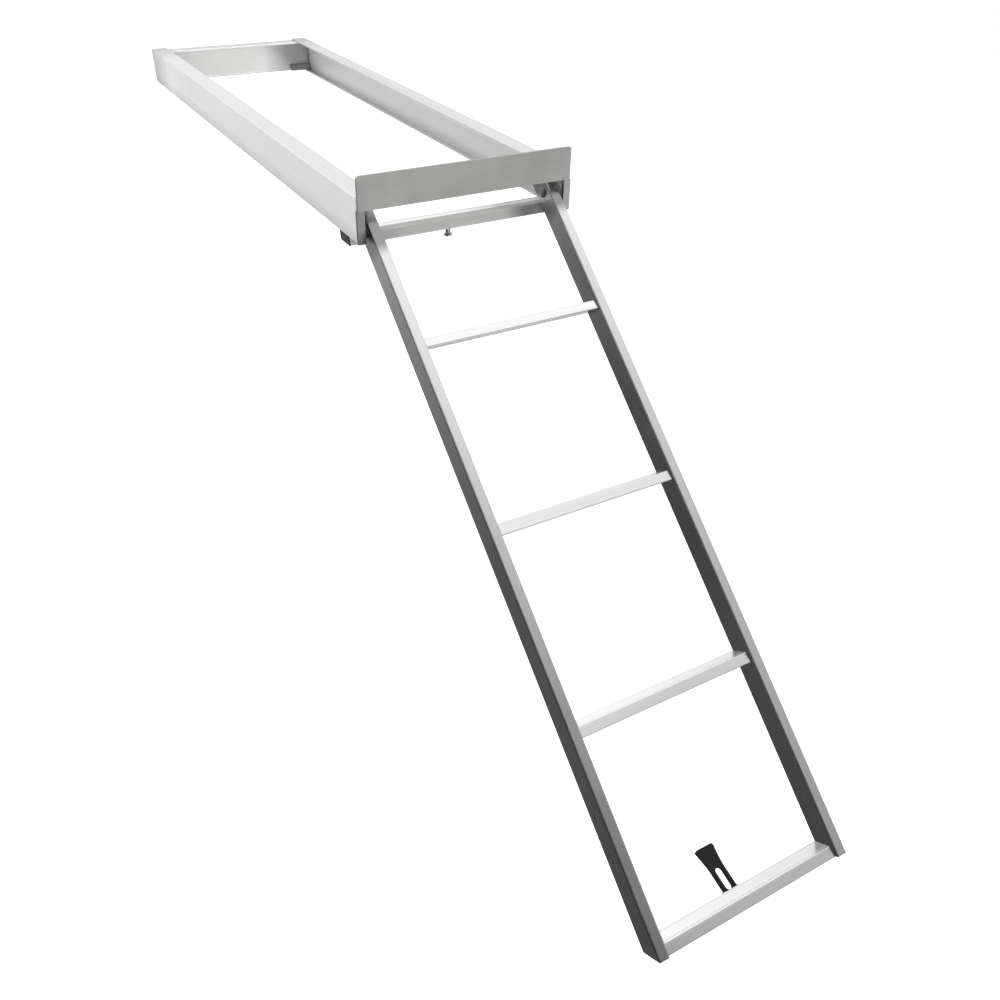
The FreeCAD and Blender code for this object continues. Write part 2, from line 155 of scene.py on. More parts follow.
# Stage
FLOOR_Z = -1.2
FLOOR_RADIUS = 9.0
FLOOR_GLOW = 0.62
CAMERA_LENS = 34.63
CAMERA_PLACE = (-0.7242, -1.3299, 0.4595)
CAMERA_TURN = (54.768, -1.336, -30.051)

# What metal sees: each card is an axis and (cosine of the angle to it, brightness) pairs. The cards are
# multiplied, and the bounce is added.
STUDIO_CARDS = (
    ((0, 0.75, 0.66), ((-1.0, 0.72), (-0.78, 0.70), (-0.55, 0.40), (-0.4, 0.26), (-0.25, 0.26), (0.05, 0.38),
                       (0.25, 0.56), (0.44, 0.76), (0.6, 0.98), (0.7, 0.9), (1.0, 0.84))),
    ((0.894, 0, 0.447), ((-0.71, 0.075), (-0.66, 0.09), (-0.62, 0.15), (-0.6, 0.22), (-0.57, 0.29),
                         (-0.46, 0.28), (-0.4, 0.4), (-0.3, 1.0), (0.33, 1.0), (0.4, 0.87), (0.46, 0.78),
                         (0.56, 0.8), (0.64, 0.96), (0.74, 0.93))),
    ((-0.35, -0.85, 0.4), ((0.45, 0.83), (0.5, 1.0), (0.56, 0.97), (0.62, 0.8), (0.66, 0.66), (0.69, 0.45),
                           (0.73, 0.22))),
)
BOUNCE = ((-0.48, 0.4, -0.78), ((0.955, 0.0), (0.985, 0.025), (1.0, 0.022)))
STUDIO_STRENGTH = 1.66


def mesh_object(name, bm, material, body, slot, smooth_angle=30.0):
    """Turns a bmesh in millimetres into a piece that rides on a body."""
    bmesh.ops.recalc_face_normals(bm, faces=bm.faces)
    bm.transform(Matrix.Scale(MM, 4))
    mesh = bpy.data.meshes.new(name)
    bm.to_mesh(mesh)
    bm.free()
    mesh.shade_smooth()
    mesh.set_sharp_from_angle(angle=math.radians(smooth_angle))
    piece = bpy.data.objects.new(name, mesh)
    bpy.context.scene.collection.objects.link(piece)
    mesh.materials.append(material)
    normals = piece.modifiers.new("normals", "WEIGHTED_NORMAL")
    normals.keep_sharp = True
    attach(piece, body)
    return piece


# Node materials

def link(tree, source, target):
    tree.links.new(source, target)


def surface_coordinates(tree, size, rotation=(0, 0, 0)):
    """Object coordinates measured along a member's own axes, in units of size (metres)."""
    coords = tree.nodes.new("ShaderNodeTexCoord")
    mapping = tree.nodes.new("ShaderNodeMapping")
    mapping.vector_type = "TEXTURE"
    mapping.inputs["Rotation"].default_value = rotation
    mapping.inputs["Scale"].default_value = size
    link(tree, coords.outputs["Object"], mapping.inputs["Vector"])
    return mapping.outputs["Vector"]


def noise(tree, size, rotation=(0, 0, 0), detail=2.0, roughness=0.5):
    texture = tree.nodes.new("ShaderNodeTexNoise")
    texture.inputs["Scale"].default_value = 1.0
    texture.inputs["Detail"].default_value = detail
    texture.inputs["Roughness"].default_value = roughness
    link(tree, surface_coordinates(tree, size, rotation), texture.inputs["Vector"])
    return texture.outputs["Fac"]


def remap(tree, value, low, high, start=0.3, end=0.7):
    node = tree.nodes.new("ShaderNodeMapRange")
    for name, number in (("From Min", start), ("From Max", end), ("To Min", low), ("To Max", high)):
        node.inputs[name].default_value = number
    link(tree, value, node.inputs["Value"])
    return node.outputs["Result"]


def mixed(tree, factor, first, second):
    node = tree.nodes.new("ShaderNodeMix")
    node.data_type = "RGBA"
    link(tree, factor, node.inputs["Factor"])
    for socket, value in ((node.inputs["A"], first), (node.inputs["B"], second)):
        if isinstance(value, tuple):
            socket.default_value = (*value, 1)
        else:
            link(tree, value, socket)
    return node.outputs["Result"]


def blended(tree, kind, first, second):
    """Two colours multiplied or added."""
    node = tree.nodes.new("ShaderNodeMix")
    node.data_type = "RGBA"
    node.blend_type = kind
    node.inputs["Factor"].default_value = 1.0
    link(tree, first, node.inputs["A"])
    link(tree, second, node.inputs["B"])
    return node.outputs["Result"]


def distance_along(tree, axis):
    """Object coordinates measured along one direction, in metres."""
    coords = tree.nodes.new("ShaderNodeTexCoord")
    along = tree.nodes.new("ShaderNodeVectorMath")
    along.operation = "DOT_PRODUCT"
    along.inputs[1].default_value = axis
    link(tree, coords.outputs["Object"], along.inputs[0])
    return along.outputs["Value"]


def with_painted_shade(tree, colour, painted_shades):
    """Scales a colour along directions to paint shade: (axis, start, end, factor before start, factor after
    end), in metres."""
    for axis, start, end, before, after in painted_shades:
        factor = remap(tree, distance_along(tree, axis), before, after, start, end)
        colour = blended(tree, "MULTIPLY", colour, factor)
    return colour


def facing(tree, axis):
    """How far a face looks along X, Y or Z."""
    parts = tree.nodes.new("ShaderNodeSeparateXYZ")
    link(tree, tree.nodes.new("ShaderNodeNewGeometry").outputs["True Normal"], parts.inputs[0])
    return parts.outputs[axis]


def scale_colour(material, factor):
    tree = material.node_tree
    base = tree.nodes["Principled BSDF"].inputs["Base Color"]
    link(tree, blended(tree, "MULTIPLY", base.links[0].from_socket, factor), base)


def paint_top_shade_bend_highlight(material, top, bend_highlight):
    """Paints shade on faces that look up, turning them grey, and a painted highlight on the bend below them,
    which is also made dull.
    """
    tree = material.node_tree
    shader = tree.nodes["Principled BSDF"]
    up = facing(tree, "Z")
    flat = shader.inputs["Base Color"].links[0].from_socket
    curved = mixed(tree, remap(tree, up, 0, 1, 0.1, 0.3), flat, bend_highlight)
    link(tree, mixed(tree, remap(tree, up, 0, 1, 0.93, 0.97), curved, top), shader.inputs["Base Color"])
    dull = remap(tree, up, shader.inputs["Metallic"].default_value, 0, 0.1, 0.3)
    link(tree, dull, shader.inputs["Metallic"])


def paint_rail_head_shade(material, axis, start, end, front, side):
    """Paints shade on a rail towards its head, on its front by one factor and on its sides by another."""
    tree = material.node_tree
    across = tree.nodes.new("ShaderNodeMath")
    across.operation = "ABSOLUTE"
    link(tree, facing(tree, "X"), across.inputs[0])
    tone = mixed(tree, remap(tree, across.outputs[0], 0, 1), (front,) * 3, (side,) * 3)
    along = remap(tree, distance_along(tree, axis), 0, 1, start, end)
    scale_colour(material, mixed(tree, along, tone, (1.0,) * 3))


def paint_crossbar_light_and_shade(material, border, front, rear, start, end, right):
    """Paints shade on the top in front of a border along Y, where it stays dull, and a painted highlight
    behind it, where it is as bright as a mirror, and paints shade on the other faces along X from start to end."""
    tree = material.node_tree
    shader = tree.nodes["Principled BSDF"]
    ahead, behind = border - BORDER_BLUR, border + BORDER_BLUR
    back = distance_along(tree, (0, 1, 0))
    tone = mixed(tree, remap(tree, back, 0, 1, ahead, behind), (front,) * 3, (rear,) * 3)
    other_faces_shade = remap(tree, distance_along(tree, (1, 0, 0)), 1.0, right, start, end)
    scale_colour(material, mixed(tree, remap(tree, facing(tree, "Z"), 0, 1, 0.9, 0.95), other_faces_shade, tone))
    shine = remap(tree, back, shader.inputs["Metallic"].default_value, 1.0, ahead, behind)
    link(tree, shine, shader.inputs["Metallic"])


def tinted(colour, factor):
    return tuple(min(1.0, c * factor) for c in colour)


def surface(name, colour, metallic, roughness, streak, grain, grain_depth, lean=0.0, spread=0.05,
            roughness_spread=0.06, edge=0.0004, specular=0.5, patch=0.08, patch_spread=0.03, painted_shades=()):
    """One finish: streaks and a bumped grain along the member, wide patches, softened edges and painted shade
    along directions. Streak, grain and patch are sizes."""
    material = bpy.data.materials.new(name)
    material.use_nodes = True
    tree = material.node_tree
    shader = tree.nodes["Principled BSDF"]
    shader.inputs["Metallic"].default_value = metallic
    shader.inputs["Specular IOR Level"].default_value = specular
    rotation = (lean, 0, 0)
    streaks = noise(tree, streak, rotation, 3.0, 0.6)
    clouds = noise(tree, (patch,) * 3, rotation, 3.0, 0.55)
    patches = remap(tree, clouds, 0, 1)
    low, high = 1 - patch_spread, 1 + patch_spread
    light = mixed(tree, patches, tinted(colour, low), tinted(colour, high))
    dark = mixed(tree, patches, tinted(colour, low - spread), tinted(colour, 1 - spread))
    streaked = mixed(tree, remap(tree, streaks, 0, 1), dark, light)
    link(tree, with_painted_shade(tree, streaked, painted_shades), shader.inputs["Base Color"])
    rough = remap(tree, clouds, roughness - roughness_spread, roughness + roughness_spread)
    link(tree, rough, shader.inputs["Roughness"])
    bump = tree.nodes.new("ShaderNodeBump")
    bump.inputs["Strength"].default_value = 1.0
    bump.inputs["Distance"].default_value = grain_depth
    link(tree, noise(tree, grain, rotation, 2.0), bump.inputs["Height"])
    if edge:
        bevel = tree.nodes.new("ShaderNodeBevel")
        bevel.samples = 4
        bevel.inputs["Radius"].default_value = edge
        link(tree, bevel.outputs["Normal"], bump.inputs["Normal"])
    link(tree, bump.outputs["Normal"], shader.inputs["Normal"])
    return material


def make_materials():
    """All finishes by name."""
    down = Vector((0, -math.sin(LEAN), -math.cos(LEAN)))
    head = PIVOT.dot(down)
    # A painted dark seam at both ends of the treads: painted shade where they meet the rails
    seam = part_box("step_1")[1].x
    seam_shade_start, seam_shade_end = (seam - inset for inset in TREAD_SEAM_SHADE)
    tread_end_shades = [((side, 0, 0), seam_shade_start, seam_shade_end, 1.0, TREAD_END_SHADE) for side in (-1, 1)]
    finishes = {
        # Painted shade: the channels darken towards their far end and along their low edge
        "channel": surface("channel_aluminium", (0.77, 0.77, 0.77), 0.3, 0.36, (0.004, 0.5, 0.002),
                           (0.0012, 0.08, 0.0012), 0.00001,
                           painted_shades=(CHANNEL_FAR_END_SHADE, CHANNEL_LOW_EDGE_SHADE)),
        # Painted shade: the crossmember darkens towards its right end
        "crossmember": surface("crossmember_aluminium", (0.89, 0.89, 0.88), 0.6, 0.24, (0.5, 0.004, 0.002),
                               (0.08, 0.0012, 0.0012), 0.000003, roughness_spread=0.02,
                               painted_shades=(CROSSMEMBER_RIGHT_END_SHADE,)),
        "plate": surface("brushed_plate", (0.53, 0.54, 0.515), 1.0, 0.42, (0.12, 0.001, 0.0007),
                         (0.03, 0.001, 0.0004), 0.00002, spread=0.1),
        # The left post: the plate's metal darkened, as painted shade
        "post": surface("post_painted_shade", (0.4, 0.415, 0.395), 1.0, 0.42, (0.001, 0.001, 0.12),
                        (0.001, 0.001, 0.03), 0.00002, spread=0.1),
        "crossbar": surface("crossbar_aluminium", (0.64, 0.645, 0.63), 0.45, 0.32, (0.5, 0.002, 0.002),
                            (0.12, 0.001, 0.001), 0.000004),
        "rail": surface("rail_aluminium", (0.91, 0.91, 0.9), 1.0, 0.27, (0.002, 0.002, 0.5),
                        (0.0008, 0.0008, 0.12), 0.000001, lean=-LEAN, roughness_spread=0.03, edge=0),
        # The treads carry the painted shade of their seams
        "step": surface("step_aluminium", (0.82, 0.82, 0.825), 1.0, 0.2, (0.5, 0.002, 0.002),
                        (0.12, 0.001, 0.001), 0.000004, lean=-LEAN,
                        painted_shades=tread_end_shades),
        "weld": surface("weld_aluminium", (0.66, 0.66, 0.66), 1.0, 0.42, (0.004,) * 3,
                        (0.001,) * 3, 0.00005, spread=0.12),
        "stainless": surface("stainless_steel", (0.62, 0.615, 0.6), 1.0, 0.25, (0.006,) * 3,
                             (0.0006,) * 3, 0.000005),
        # Bolt heads and pivot washers: steel darkened to the rail heads' painted shade
        "bolt": surface("bolt_steel_painted_shade", (0.34, 0.345, 0.33), 1.0, 0.45, (0.006,) * 3,
                        (0.0006,) * 3, 0.000005),
        # Nylon rollers and bushes: natural nylon darkened as painted shade under the front plate
        "nylon": surface("moulded_nylon_painted_shade", (0.3, 0.3, 0.28), 0.0, 0.42, (0.01,) * 3,
                         (0.0008,) * 3, 0.00001, spread=0.04),
        "plastic": surface("black_plastic", (0.02, 0.02, 0.021), 0.0, 0.4, (0.008,) * 3,
                           (0.0007,) * 3, 0.00003, spread=0.2),
        "rubber": surface("black_rubber", (0.006, 0.006, 0.007), 0.0, 0.55, (0.006,) * 3,
                          (0.0006,) * 3, 0.00003, spread=0.25, specular=0.3),
        "bumper": surface("grey_rubber", (0.17, 0.17, 0.165), 0.0, 0.5, (0.006,) * 3,
                          (0.0006,) * 3, 0.00003, spread=0.2, specular=0.3),
    }
    # Painted shade on the crossmember's top and a painted highlight on its bend
    paint_top_shade_bend_highlight(finishes["crossmember"], top=(0.5, 0.5, 0.49), bend_highlight=(0.98, 0.98, 0.97))
    # Painted shade on the front of the crossbar's top, a painted highlight behind it, and painted shade towards
    # the right end of its other faces
    paint_crossbar_light_and_shade(finishes["crossbar"], CROSSBAR_SHADE_BORDER, front=0.72, rear=1.55,
                   start=0.09, end=0.13, right=0.45)
    # Painted shade on the rail heads
    head_shade_start, head_shade_end = (head + distance for distance in RAIL_HEAD_SHADE)
    paint_rail_head_shade(finishes["rail"], down + RAIL_HEAD_SHADE_SKEW, head_shade_start, head_shade_end, front=0.4, side=0.62)
    return finishes


# Shapes

def on_ladder():
    """Matrix from ladder coordinates in millimetres (z up the rails, y square to them) to the frame's."""
    return Matrix.Translation(PIVOT / MM) @ Matrix.Rotation(-LEAN, 4, "X")


def rounded(outline, radius, parts=6):
    """A closed (y, z) outline with each corner rounded."""
    points = []
    count = len(outline)
    for i in range(count):
        here = Vector(outline[i])
        before = (Vector(outline[i - 1]) - here).normalized()
        after = (Vector(outline[(i + 1) % count]) - here).normalized()
        half = before.angle(after) / 2
        reach = radius / math.tan(half)
        centre = here + (before + after).normalized() * radius / math.sin(half)
        first = here + before * reach - centre
        last = here + after * reach - centre
        turn = first.angle_signed(last)
        for k in range(parts + 1):
            angle = -turn * k / parts
            c, s = math.cos(angle), math.sin(angle)
            points.append(centre + Vector((first.x * c - first.y * s, first.x * s + first.y * c)))
    return points


def step_section():
    """The step's outline laid level, nose edge at the origin, with a groove behind the nose and one before
    the rear edge."""
    slope = math.tan(TREAD_TILT)
    rear_top = STEP_FLOOR + STEP_HEIGHT * slope
    outline = [(0, 0), (STEP_FLOOR, 0), (rear_top, STEP_HEIGHT), (NOSE_SETBACK, STEP_HEIGHT)]
    points = rounded(outline, EDGE_RADIUS)
    per_corner = len(points) // 4
    front = NOSE_SETBACK + GROOVE_SETBACK
    rear = rear_top - GROOVE_SETBACK
    grooves = []
    for centre in (rear, front):
        for offset, depth in GROOVE:
            grooves.append(Vector((centre + offset * GROOVE_WIDTH, STEP_HEIGHT - depth * GROOVE_DEPTH)))
    return points[:3 * per_corner] + grooves + points[3 * per_corner:]


def extruded(points, x0, x1):
    bm = bmesh.new()
    rings = [[bm.verts.new((x, p[0], p[1])) for p in points] for x in (x0, x1)]
    count = len(points)
    for i in range(count):
        j = (i + 1) % count
        bm.faces.new((rings[0][i], rings[0][j], rings[1][j], rings[1][i]))
    bm.faces.new(rings[0])
    bm.faces.new(rings[1])
    return bm


def step_matrix(number):
    """Places a level step section at its height on the ladder."""
    height = -PIVOT_TO_FOOT + (STEP_COUNT - number) * STEP_SPACING
    nose = Matrix.Translation((0, -RAIL_DEPTH / 2 + NOSE_INSET, height))
    local = nose @ Matrix.Rotation(TREAD_TILT, 4, "X")
    return on_ladder() @ local


def add_steps(materials):
    for number in range(1, STEP_COUNT + 1):
        node = "step_{}".format(number)
        low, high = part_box(node)
        bm = extruded(step_section(), low.x / MM, high.x / MM)
        bm.transform(step_matrix(number))
        tread = mesh_object("tread_{}".format(number), bm, materials["step"], "ladder", "anodised")
        tread.visible_glossy = False
        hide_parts(node)


def add_crossbar(materials):
    low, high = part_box("front_crossbar")
    bm = extruded(step_section(), low.x / MM, high.x / MM)
    bm.transform(Matrix.Translation(CROSSBAR_NOSE))
    bar = mesh_object("crossbar", bm, materials["crossbar"], "frame", "anodised")
    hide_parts("front_crossbar")


def lathe(profile, centre, axis="X", segments=64):
    """Solid of revolution from (distance along the axis, radius) pairs, closed at both ends."""
    bm = bmesh.new()
    rings = []
    for along, radius in profile:
        if radius < 1e-6:
            rings.append([bm.verts.new((along, 0, 0))])
            continue
        angles = [2 * math.pi * k / segments for k in range(segments)]
        rings.append([bm.verts.new((along, radius * math.cos(a), radius * math.sin(a))) for a in angles])
    for first, second in zip(rings, rings[1:]):
        for k in range(segments):
            corners = [first[k % len(first)], first[(k + 1) % len(first)]]
            corners += [second[(k + 1) % len(second)], second[k % len(second)]]
            unique = list(dict.fromkeys(corners))
            if len(unique) > 2:
                bm.faces.new(unique)
    for ring in (rings[0], rings[-1]):
        if len(ring) > 1:
            bm.faces.new(ring)
    turn = {"X": Matrix.Identity(4), "Y": Matrix.Rotation(math.pi / 2, 4, "Z"),
            "Z": Matrix.Rotation(-math.pi / 2, 4, "Y")}[axis]
    bm.transform(Matrix.Translation(centre) @ turn)
    return bm


def inward(end, sign, pairs):
    """Profile points from (depth from an end, radius) pairs."""
    return [(end + sign * depth, radius) for depth, radius in pairs]


def hexagon(across_flats, start, end, centre, segments=72):
    """Hexagon along X, chamfered where the end face meets its corners."""
    bm = bmesh.new()
    apothem = across_flats / 2
    face_radius = apothem * NUT_FACE
    slope = math.tan(NUT_CHAMFER)
    direction = 1 if end > start else -1
    rings = [[], [], []]
    for k in range(segments):
        angle = 2 * math.pi * k / segments
        radius = apothem / math.cos((angle + math.pi / 6) % (math.pi / 3) - math.pi / 6)
        cut = end - direction * (radius - face_radius) * slope
        for ring, x, r in zip(rings, (start, cut, end), (radius, radius, face_radius)):
            ring.append(bm.verts.new((x, r * math.cos(angle), r * math.sin(angle))))
    for first, second in zip(rings, rings[1:]):
        for k in range(segments):
            j = (k + 1) % segments
            bm.faces.new((first[k], first[j], second[j], second[k]))
    bm.faces.new(rings[0])
    bm.faces.new(rings[2])
    bm.transform(Matrix.Translation(centre))
    return bm


def joined(*parts):
    """One bmesh from several."""
    whole = bmesh.new()
    for part in parts:
        mesh = bpy.data.meshes.new("part")
        part.to_mesh(mesh)
        part.free()
        whole.from_mesh(mesh)
        bpy.data.meshes.remove(mesh)
    return whole


def bead(start, end, along_first, along_second, radius):
    """Fillet weld with ripples in the corner between two faces."""
    start, end = Vector(start), Vector(end)
    first, second = Vector(along_first).normalized(), Vector(along_second).normalized()
    length = (end - start).length
    stations = max(8, int(length / WELD_PITCH * WELD_RINGS))
    bm = bmesh.new()
    rings = []
    for i in range(stations + 1):
        t = i / stations
        ripple = 1 + WELD_RIPPLE * math.cos(2 * math.pi * t * length / WELD_PITCH)
        past = max(0.0, abs(2 * t - 1) * length / 2 - length / 2 + radius)
        ends = math.sqrt(max(0.0, 1 - past ** 2 / radius ** 2))
        r = radius * ripple * max(WELD_END, ends)
        here = start.lerp(end, t)
        ring = [bm.verts.new(here)]
        for k in range(WELD_ARC):
            angle = math.pi / 2 * k / (WELD_ARC - 1)
            ring.append(bm.verts.new(here + first * r * math.cos(angle) + second * r * math.sin(angle)))
        rings.append(ring)
    count = WELD_ARC + 1
    for one, two in zip(rings, rings[1:]):
        for k in range(count):
            j = (k + 1) % count
            bm.faces.new((one[k], one[j], two[j], two[k]))
    bm.faces.new(rings[0])
    bm.faces.new(rings[-1])
    return bm


def add_welds(materials):
    """Beads under the ends of the steps, in the rear corners of the frame and beside the bottom flanges."""
    low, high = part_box("step_1")
    for number in range(1, STEP_COUNT + 1):
        place = step_matrix(number)
        turned = place.to_3x3()
        parts = []
        for x, side in ((low.x / MM, 1), (high.x / MM, -1)):
            ends = [place @ Vector((x, y, 0)) for y in (STEP_WELD_INSET, STEP_FLOOR - STEP_WELD_INSET)]
            parts.append(bead(*ends, (side, 0, 0), turned @ Vector((0, 0, -1)), WELD_SIZE))
        name = "step_welds_{}".format(number)
        mesh_object(name, joined(*parts), materials["weld"], "ladder", "anodised", 60)
    member_low, member_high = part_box("rear_crossmember")
    bar_low, bar_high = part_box("front_crossbar")
    inner = (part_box("left_channel")[0].x + BOTTOM_FLANGE * MM) / MM
    front, rear = FLANGE_WELD_INSETS
    parts = []
    for side in (-1, 1):
        x = side * abs(member_low.x) / MM
        y = member_low.y / MM
        heights = (member_low.z / MM + CORNER_WELD_INSET, member_high.z / MM - CORNER_WELD_INSET)
        parts.append(bead(*((x, y, z) for z in heights), (-side, 0, 0), (0, -1, 0), WELD_SIZE))
        x = side * abs(inner)
        ends = [(x, y, bar_high.z / MM) for y in (bar_low.y / MM + front, bar_high.y / MM - rear)]
        parts.append(bead(*ends, (-side, 0, 0), (0, 0, 1), FLANGE_WELD_SIZE))
    mesh_object("frame_welds", joined(*parts), materials["weld"], "frame", "anodised", 60)


def add_pivots(materials):
    """Bolts, lock nuts, rollers and spacers."""
    for side, sign in (("left", 1), ("right", -1)):
        centre = Vector((0, *(PIVOT.yz / MM)))

        def reach(node):
            low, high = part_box(side + "_" + node)
            ends = (low.x / MM, high.x / MM)
            return ends if sign > 0 else ends[::-1]

        def place(kind, bm, material, slot, node):
            piece = mesh_object("{}_{}".format(side, kind), bm, materials[material], "carriage", slot)
            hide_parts("{}_{}".format(side, node))

        outer, inner = reach("pivot_bolt")
        head = inner - sign * BOLT_HEAD
        bolt = inward(outer, sign, BOLT_TIP) + inward(head, sign, BOLT_HEAD_EDGE)
        bolt += [(inner, BOLT_FACE_RADIUS), (inner, 0)]
        place("bolt", lathe(bolt, centre), "bolt", "stainless", "pivot_bolt")
        outer, inner = reach("lock_nut")
        nut = joined(hexagon(NUT_FLATS, inner, outer + sign * NUT_COLLAR, centre),
                     lathe(inward(outer, sign, NUT_INSERT), centre))
        place("nut", nut, "stainless", "stainless", "lock_nut")
        outer, inner = reach("roller")
        radius = (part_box(side + "_roller")[1].z - PIVOT.z) / MM
        face = ROLLER_GROOVE + tuple((depth, radius - drop) for depth, drop in ROLLER_EDGE)
        wheel = inward(outer, sign, NUT_POCKET + face) + inward(inner, -sign, reversed(face))
        wheel.append((inner, BORE_RADIUS))
        place("wheel", lathe(wheel, centre, segments=96), "nylon", "nylon", "roller")
        outer, inner = reach("spacer")
        bush = inward(outer, sign, BUSH_END) + inward(inner, -sign, reversed(BUSH_END))
        place("bush", lathe(bush, centre), "nylon", "nylon", "spacer")


def add_stud(materials):
    low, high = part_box("catch_stud")
    centre = Vector(((low.x + high.x) / 2 / MM, (low.y + high.y) / 2 / MM, 0))
    top, bottom = high.z / MM, low.z / MM
    profile = inward(top, -1, STUD_FOOT) + inward(bottom, 1, STUD_HEAD)
    stud = mesh_object("stud", lathe(profile, centre, "Z"), materials["stainless"], "frame", "stainless")
    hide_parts("catch_stud")


def add_bumpers(materials):
    """Moulded rubber bumpers low on the crossmember, with softened edges."""
    for side in ("left", "right"):
        low, high = (Vector(v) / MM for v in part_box(side + "_rear_stop"))
        corners = [(low.y, low.z), (high.y, low.z), (high.y, high.z), (low.y, high.z)]
        bm = extruded(rounded(corners, BUMPER_RADIUS), low.x, high.x)
        bumper = mesh_object(side + "_bumper", bm, materials["bumper"], "frame", "black_rubber")
        bevel = bumper.modifiers.new("edges", "BEVEL")
        bevel.width = BUMPER_EDGE * MM
        bevel.segments = 3
        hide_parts(side + "_rear_stop")


def add_latch(materials):
    """Moulded rubber strap: an eye round the pin, two legs beside the slot and a flared, ribbed tab."""
    curve = bpy.data.curves.new("latch_outline", "CURVE")
    curve.dimensions = "2D"
    curve.fill_mode = "BOTH"
    curve.extrude = LATCH_THICKNESS / 2 - LATCH_EDGE
    curve.bevel_depth = LATCH_EDGE
    curve.bevel_resolution = 3
    curve.offset = -LATCH_EDGE
    curve.resolution_u = 10
    outline = list(LATCH_SIDE) + [(-x, z) for x, z in reversed(LATCH_SIDE)]
    slot = []
    low_end, high_end = LATCH_SLOT
    for base, turn in ((high_end - LATCH_SLOT_RADIUS, 0), (low_end + LATCH_SLOT_RADIUS, math.pi)):
        for k in range(SLOT_PARTS + 1):
            angle = math.pi * k / SLOT_PARTS + turn
            slot.append((LATCH_SLOT_RADIUS * math.cos(angle), base + LATCH_SLOT_RADIUS * math.sin(angle)))
    for points in (outline, slot):
        spline = curve.splines.new("POLY")
        spline.points.add(len(points) - 1)
        for point, (x, z) in zip(spline.points, points):
            point.co = (x, z, 0, 1)
        spline.use_cyclic_u = True
    holder = bpy.data.objects.new("latch_outline", curve)
    mesh = bpy.data.meshes.new_from_object(holder)
    bpy.data.objects.remove(holder)
    strap = bmesh.new()
    strap.from_mesh(mesh)
    bmesh.ops.remove_doubles(strap, verts=strap.verts, dist=0.01)
    strap.transform(Matrix.Rotation(math.pi / 2, 4, "X"))
    left_end = [(-LATCH_NECK, EYE_BORE), (-LATCH_NECK, EYE_FACE_RADIUS), (-LATCH_NECK + EYE_EDGE, EYE_RADIUS)]
    right_end = [(-x, radius) for x, radius in reversed(left_end)]
    eye = lathe(left_end + right_end, Vector((0, 0, 0)))
    ribs = []
    for k in range(RIB_COUNT):
        z = RIB_START + RIB_PITCH * k
        half = LATCH_NECK - RIB_INSET + RIB_WIDENING * k
        profile = [(-half, 0), (-half + RIB_TAPER, RIB_HEIGHT), (half - RIB_TAPER, RIB_HEIGHT), (half, 0)]
        for face in (-1, 1):
            centre = Vector((0, face * (LATCH_THICKNESS / 2 - RIB_SUNK), z))
            ribs.append(lathe(profile, centre, segments=16))
    whole = joined(strap, eye, *ribs)
    low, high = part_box("latch_pin")
    pin = Vector(((low.x + high.x) / 2, (low.y + high.y) / 2, (low.z + high.z) / 2)) / MM
    whole.transform(Matrix.Translation(pin) @ Matrix.Rotation(-LEAN - LATCH_TILT, 4, "X"))
    latch = mesh_object("latch", whole, materials["rubber"], "latch", "black_rubber", 40)
    latch.visible_glossy = False
    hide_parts("latch_strap")


def paint_nodes(materials):
    """Finishes of the CAD nodes that stay visible."""
    finishes = {
        "channel": ("left_channel", "right_channel"),
        "crossmember": ("rear_crossmember",),
        "plate": ("front_plate", "right_end_post"),
        # The left post takes the plate's metal with painted shade
        "post": ("left_end_post",),
        "rail": ("left_rail", "right_rail"),
        "stainless": ("latch_bracket", "latch_pin"),
        # The pivot washers take the darkened steel of the bolts, as painted shade
        "bolt": ("left_pivot_washer", "right_pivot_washer"),
        "plastic": ("left_crossbar_cap", "right_crossbar_cap", "left_rail_plug", "right_rail_plug"),
    }
    for finish, names in finishes.items():
        for name in names:
            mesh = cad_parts[name].data
            mesh.materials.clear()
            mesh.materials.append(materials[finish])


# Studio

def add_world():
    """White for the camera, directly or through clear surfaces. Metal sees a studio graded in grey."""
    world = bpy.data.worlds.new("studio")
    bpy.context.scene.world = world
    world.use_nodes = True
    tree = world.node_tree
    tree.nodes.clear()
    direction = tree.nodes.new("ShaderNodeTexCoord").outputs["Generated"]

    def level(axis, stops):
        """Brightness by the cosine of the angle to an axis: (cosine, level) pairs."""
        cosine = tree.nodes.new("ShaderNodeVectorMath")
        cosine.operation = "DOT_PRODUCT"
        cosine.inputs[1].default_value = Vector(axis).normalized()
        link(tree, direction, cosine.inputs[0])
        ramp = tree.nodes.new("ShaderNodeValToRGB")
        elements = ramp.color_ramp.elements
        elements.remove(elements[-1])
        for i, (place, value) in enumerate(stops):
            element = elements[0] if i == 0 else elements.new((place + 1) / 2)
            element.position = (place + 1) / 2
            element.color = (value, value, value, 1)
        link(tree, remap(tree, cosine.outputs["Value"], 0, 1, -1, 1), ramp.inputs["Fac"])
        return ramp.outputs["Color"]

    light = level(*STUDIO_CARDS[0])
    for card in STUDIO_CARDS[1:]:
        light = blended(tree, "MULTIPLY", light, level(*card))
    light = blended(tree, "ADD", light, level(*BOUNCE))
    studio = tree.nodes.new("ShaderNodeBackground")
    studio.inputs["Strength"].default_value = STUDIO_STRENGTH
    link(tree, light, studio.inputs["Color"])
    white = tree.nodes.new("ShaderNodeBackground")
    white.inputs["Color"].default_value = (1, 1, 1, 1)
    white.inputs["Strength"].default_value = 1.0
    path = tree.nodes.new("ShaderNodeLightPath")
    mix = tree.nodes.new("ShaderNodeMixShader")
    seen = tree.nodes.new("ShaderNodeMath")
    seen.operation = "MAXIMUM"
    link(tree, path.outputs["Is Camera Ray"], seen.inputs[0])
    link(tree, path.outputs["Is Transmission Ray"], seen.inputs[1])
    link(tree, seen.outputs["Value"], mix.inputs["Fac"])
    link(tree, studio.outputs["Background"], mix.inputs[1])
    link(tree, white.outputs["Background"], mix.inputs[2])
    output = tree.nodes.new("ShaderNodeOutputWorld")
    link(tree, mix.outputs["Shader"], output.inputs["Surface"])


